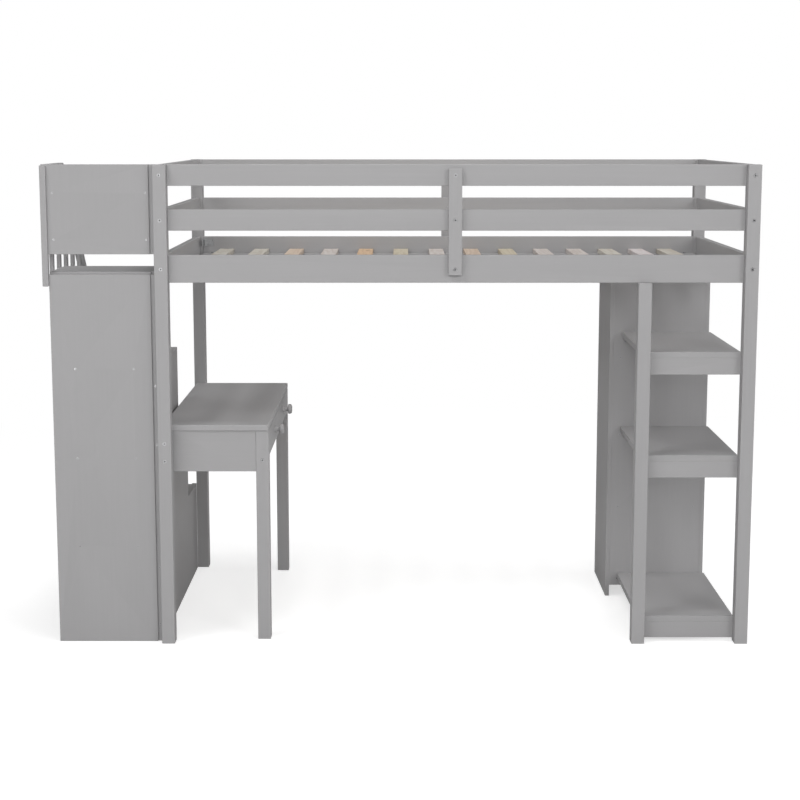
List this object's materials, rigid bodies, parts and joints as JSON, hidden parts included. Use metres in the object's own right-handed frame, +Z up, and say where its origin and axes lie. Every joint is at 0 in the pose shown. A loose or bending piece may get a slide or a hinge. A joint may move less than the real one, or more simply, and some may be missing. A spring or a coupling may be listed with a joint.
{
  "type": "loft bed with desk",
  "caption": "Raised slatted bed with guard rails, side storage stair, desk with drawers, open shelves and bookcase below.",
  "frame": {"origin": "on the floor, under the middle of the whole piece", "axes": "+X along the bed, away from the stair; +Y across the bed, away from the side with the tall stair board; +Z up"},
  "size_m": [2.367, 1.092, 1.619],
  "materials": {
    "grey_paint": "satin grey paint over solid wood and board",
    "bare_pine": "planed bare pine",
    "drawer_birch": "lacquered birch plywood",
    "zinc_steel": "zinc plated",
    "bolt_steel": "nickel plated"
  },
  "bodies": {
    "frame": {"post_front_left": "grey_paint", "post_front_right": "grey_paint", "post_rear_left": "grey_paint", "post_rear_right": "grey_paint", "side_rail_front": "grey_paint", "side_rail_rear": "grey_paint", "end_rail_left": "grey_paint", "end_rail_right": "grey_paint", "guard_rails_front": "grey_paint", "guard_rails_rear": "grey_paint", "guard_rails_left": "grey_paint", "guard_rails_right": "grey_paint", "centre_upright_front": "grey_paint", "centre_upright_rear": "grey_paint", "slat_ledgers": "grey_paint", "bed_slats": "bare_pine", "corner_brackets": "zinc_steel", "stair_back_panel": "grey_paint", "stair_side_panel": "grey_paint", "joining_stiles": "grey_paint", "stair_treads": "grey_paint", "landing": "grey_paint", "stair_risers": "grey_paint", "stair_edge_boards": "grey_paint", "stair_corner_post": "grey_paint", "landing_guard_panel": "grey_paint", "guard_battens": "grey_paint", "guard_stiles": "grey_paint", "landing_top_rail": "grey_paint", "handrail": "grey_paint", "balusters": "grey_paint", "desk_top": "grey_paint", "desk_aprons": "grey_paint", "desk_side_rail": "grey_paint", "desk_legs": "grey_paint", "desk_divider": "grey_paint", "runner_blocks": "bare_pine", "corner_blocks": "grey_paint", "fixed_runners": "zinc_steel", "shelf_post": "grey_paint", "front_shelves": "grey_paint", "shelf_fascias": "grey_paint", "shelf_cleats": "grey_paint", "bookcase_back": "grey_paint", "bookcase_sides": "grey_paint", "bookcase_shelves": "grey_paint", "frame_bolts": "bolt_steel", "upright_bolts": "bolt_steel", "barrel_nuts": "bolt_steel", "wood_screws": "bolt_steel"},
    "left_drawer": {"left_drawer_face": "grey_paint", "left_drawer_box": "drawer_birch", "left_drawer_bottom": "drawer_birch", "left_drawer_knob": "grey_paint", "left_drawer_runners": "zinc_steel"},
    "right_drawer": {"right_drawer_face": "grey_paint", "right_drawer_box": "drawer_birch", "right_drawer_bottom": "drawer_birch", "right_drawer_knob": "grey_paint", "right_drawer_runners": "zinc_steel"}
  },
  "joints": [
    {"name": "left_drawer_slide", "type": "slide", "parent": "frame", "child": "left_drawer", "axis": [1, 0, 0], "range_m": [0, 0.21]},
    {"name": "right_drawer_slide", "type": "slide", "parent": "frame", "child": "right_drawer", "axis": [1, 0, 0], "range_m": [0, 0.21]}
  ]
}
